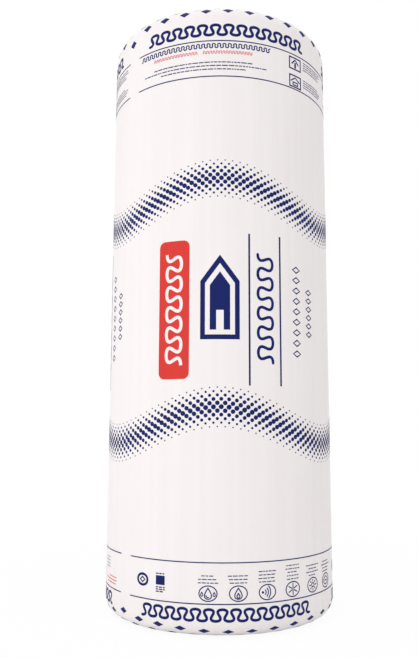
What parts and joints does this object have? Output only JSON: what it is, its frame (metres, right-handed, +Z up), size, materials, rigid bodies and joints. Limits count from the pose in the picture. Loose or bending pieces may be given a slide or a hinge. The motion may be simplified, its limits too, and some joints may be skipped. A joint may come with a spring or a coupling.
{
  "type": "insulation roll",
  "caption": "Upright roll of pressed glass wool felt in a printed film sleeve, folded in over both ends, used to insulate roofs and walls.",
  "frame": {"origin": "centre of the lower end, on the floor that the roll stands on", "axes": "+Z up along the roll's axis, -Y towards the middle of the printed front"},
  "size_m": [0.4648, 0.4648, 1.2008],
  "materials": {
    "glass_wool": "matt, fibrous, straw yellow",
    "printed_film": "satin white film with navy and red print"
  },
  "bodies": {
    "root": {"wool_roll": "glass_wool", "film_sleeve": "printed_film"}
  },
  "joints": []
}
